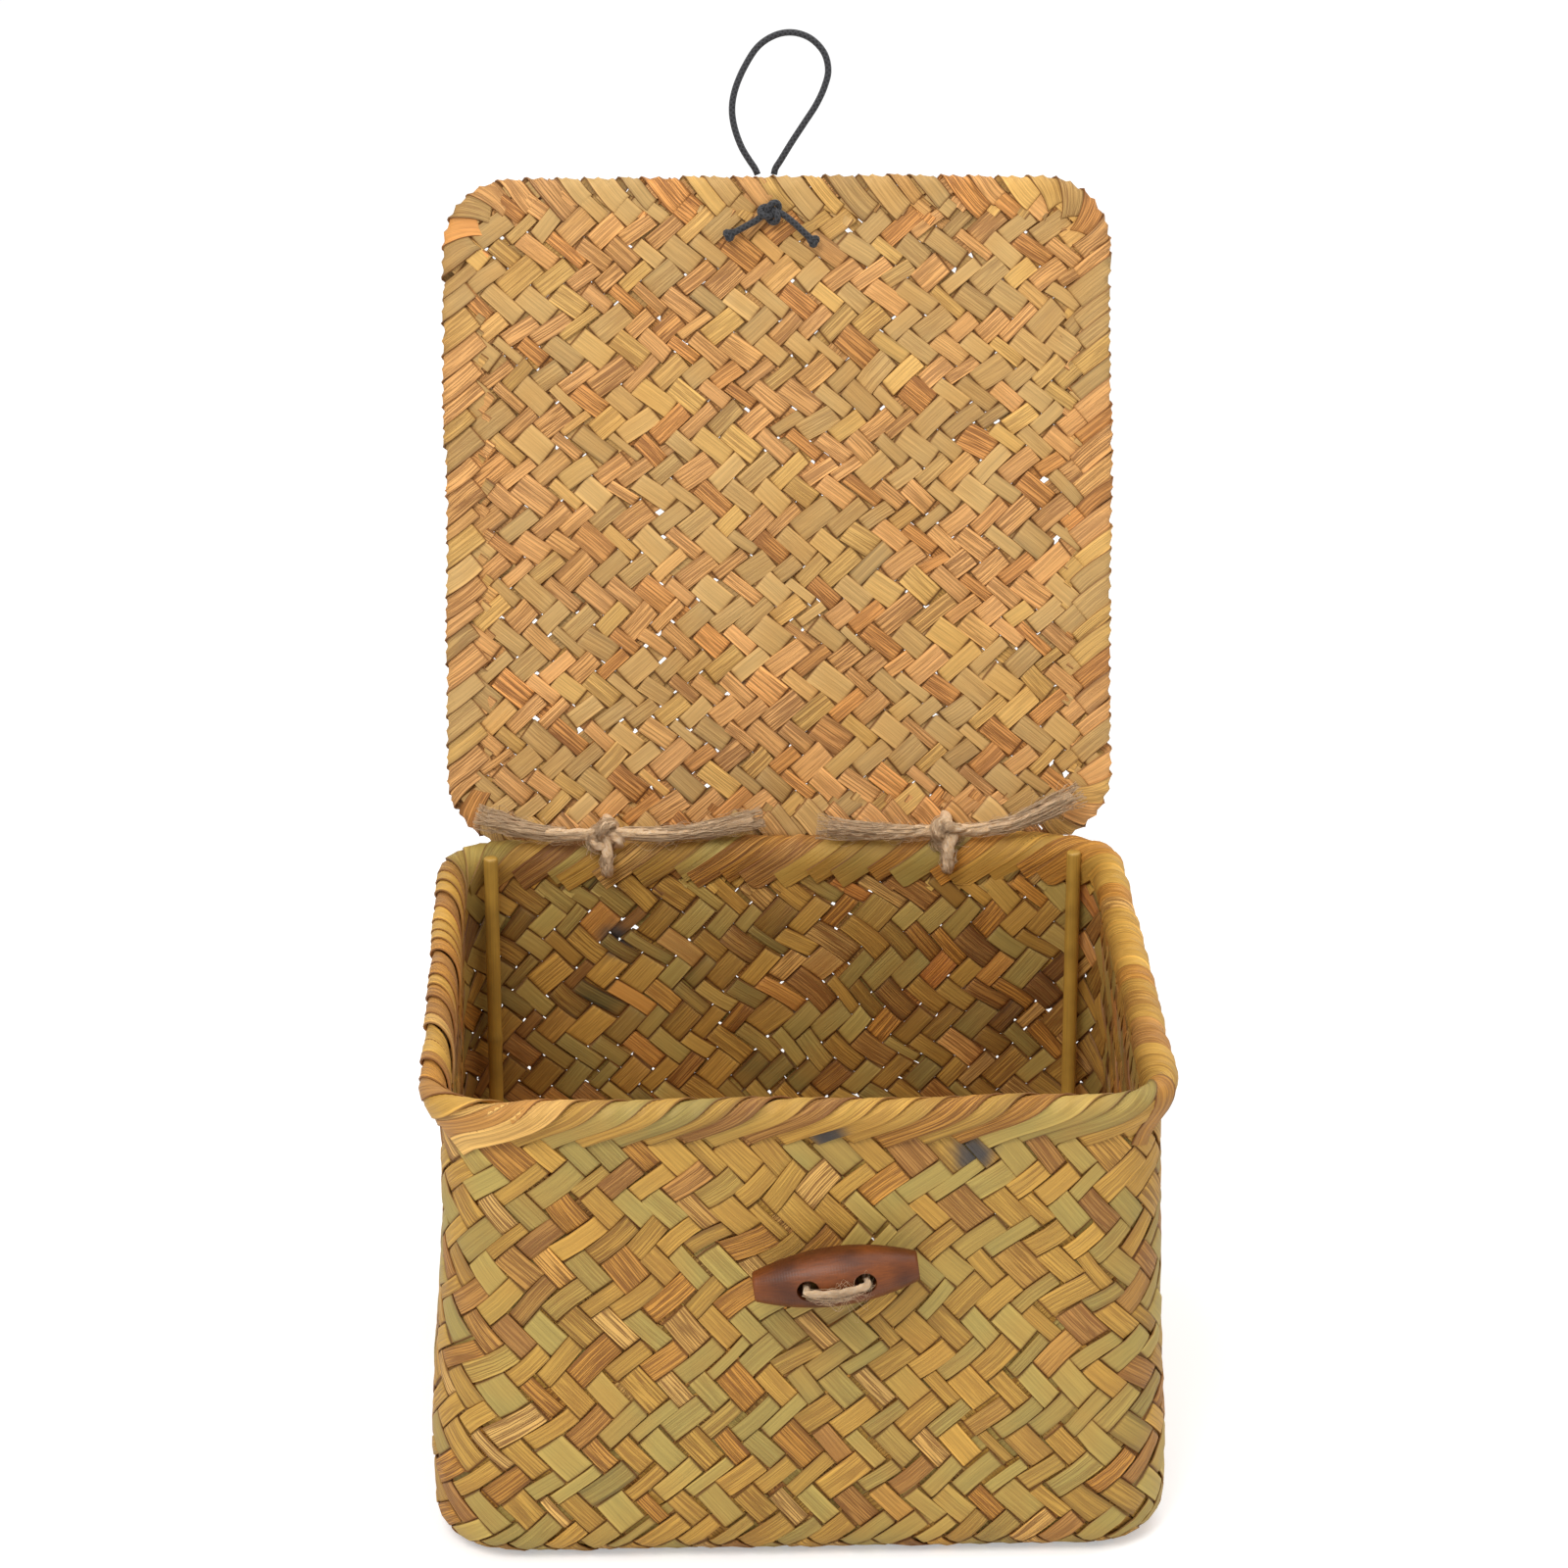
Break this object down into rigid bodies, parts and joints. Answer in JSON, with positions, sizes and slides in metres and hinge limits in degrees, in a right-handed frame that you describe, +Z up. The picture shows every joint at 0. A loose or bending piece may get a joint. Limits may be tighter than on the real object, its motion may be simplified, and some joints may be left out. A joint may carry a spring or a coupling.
{
  "type": "woven lidded box",
  "caption": "Square plaited seagrass storage box with a flat hinged lid, bamboo corner stakes, and an elastic loop that closes over a wooden toggle.",
  "frame": {"origin": "centre of the base, on the surface that the box stands on", "axes": "+Z up, the front wall with its toggle towards -Y, +X to the right as seen from the front"},
  "size_m": [0.1848, 0.2596, 0.3324],
  "materials": {
    "seagrass": "plaited dry seagrass, satin",
    "seagrass_fold": "folded dry seagrass strips, satin",
    "lid_seagrass": "plaited dry seagrass, satin",
    "lid_seagrass_fold": "folded dry seagrass strips, satin",
    "cane": "round cane, matt",
    "bamboo": "smooth split bamboo",
    "jute": "twisted raw jute",
    "elastic": "braided black elastic cord",
    "toggle_wood": "polished dark wood"
  },
  "bodies": {
    "basket": {"woven_basket": "seagrass", "rim_border": "seagrass_fold", "rim_hoop": "cane", "corner_stake_1": "bamboo", "corner_stake_2": "bamboo", "corner_stake_3": "bamboo", "corner_stake_4": "bamboo", "hinge_tie_left": "jute", "hinge_tie_right": "jute", "tie_tail_left_outer": "jute", "tie_tail_left_inner": "jute", "tie_tail_right_inner": "jute", "tie_tail_right_outer": "jute", "toggle_twine": "jute"},
    "lid": {"lid_panel": "lid_seagrass", "lid_border": "lid_seagrass_fold", "elastic_knot": "elastic"},
    "loop": {"elastic_loop": "elastic"},
    "toggle": {"toggle": "toggle_wood"}
  },
  "joints": [
    {"name": "lid_hinge", "type": "hinge", "parent": "basket", "child": "lid", "pos_m": [0, 0.09, 0.121], "axis": [1, 0, 0], "range_deg": [0, 104.2], "deforming": ["hinge_tie_left", "hinge_tie_right", "tie_tail_left_outer", "tie_tail_left_inner", "tie_tail_right_inner", "tie_tail_right_outer"]},
    {"name": "loop_swing", "type": "hinge", "parent": "lid", "child": "loop", "pos_m": [0, 0.1424, 0.29383], "axis": [1, 0, 0], "range_deg": [-60, 62], "stiffness_Nm_per_rad": 0.01},
    {"name": "toggle_swivel", "type": "hinge", "parent": "basket", "child": "toggle", "pos_m": [0.0076, -0.09685, 0.0802], "axis": [0, 1, 0], "range_deg": [-25, 25], "deforming": ["toggle_twine"]}
  ]
}
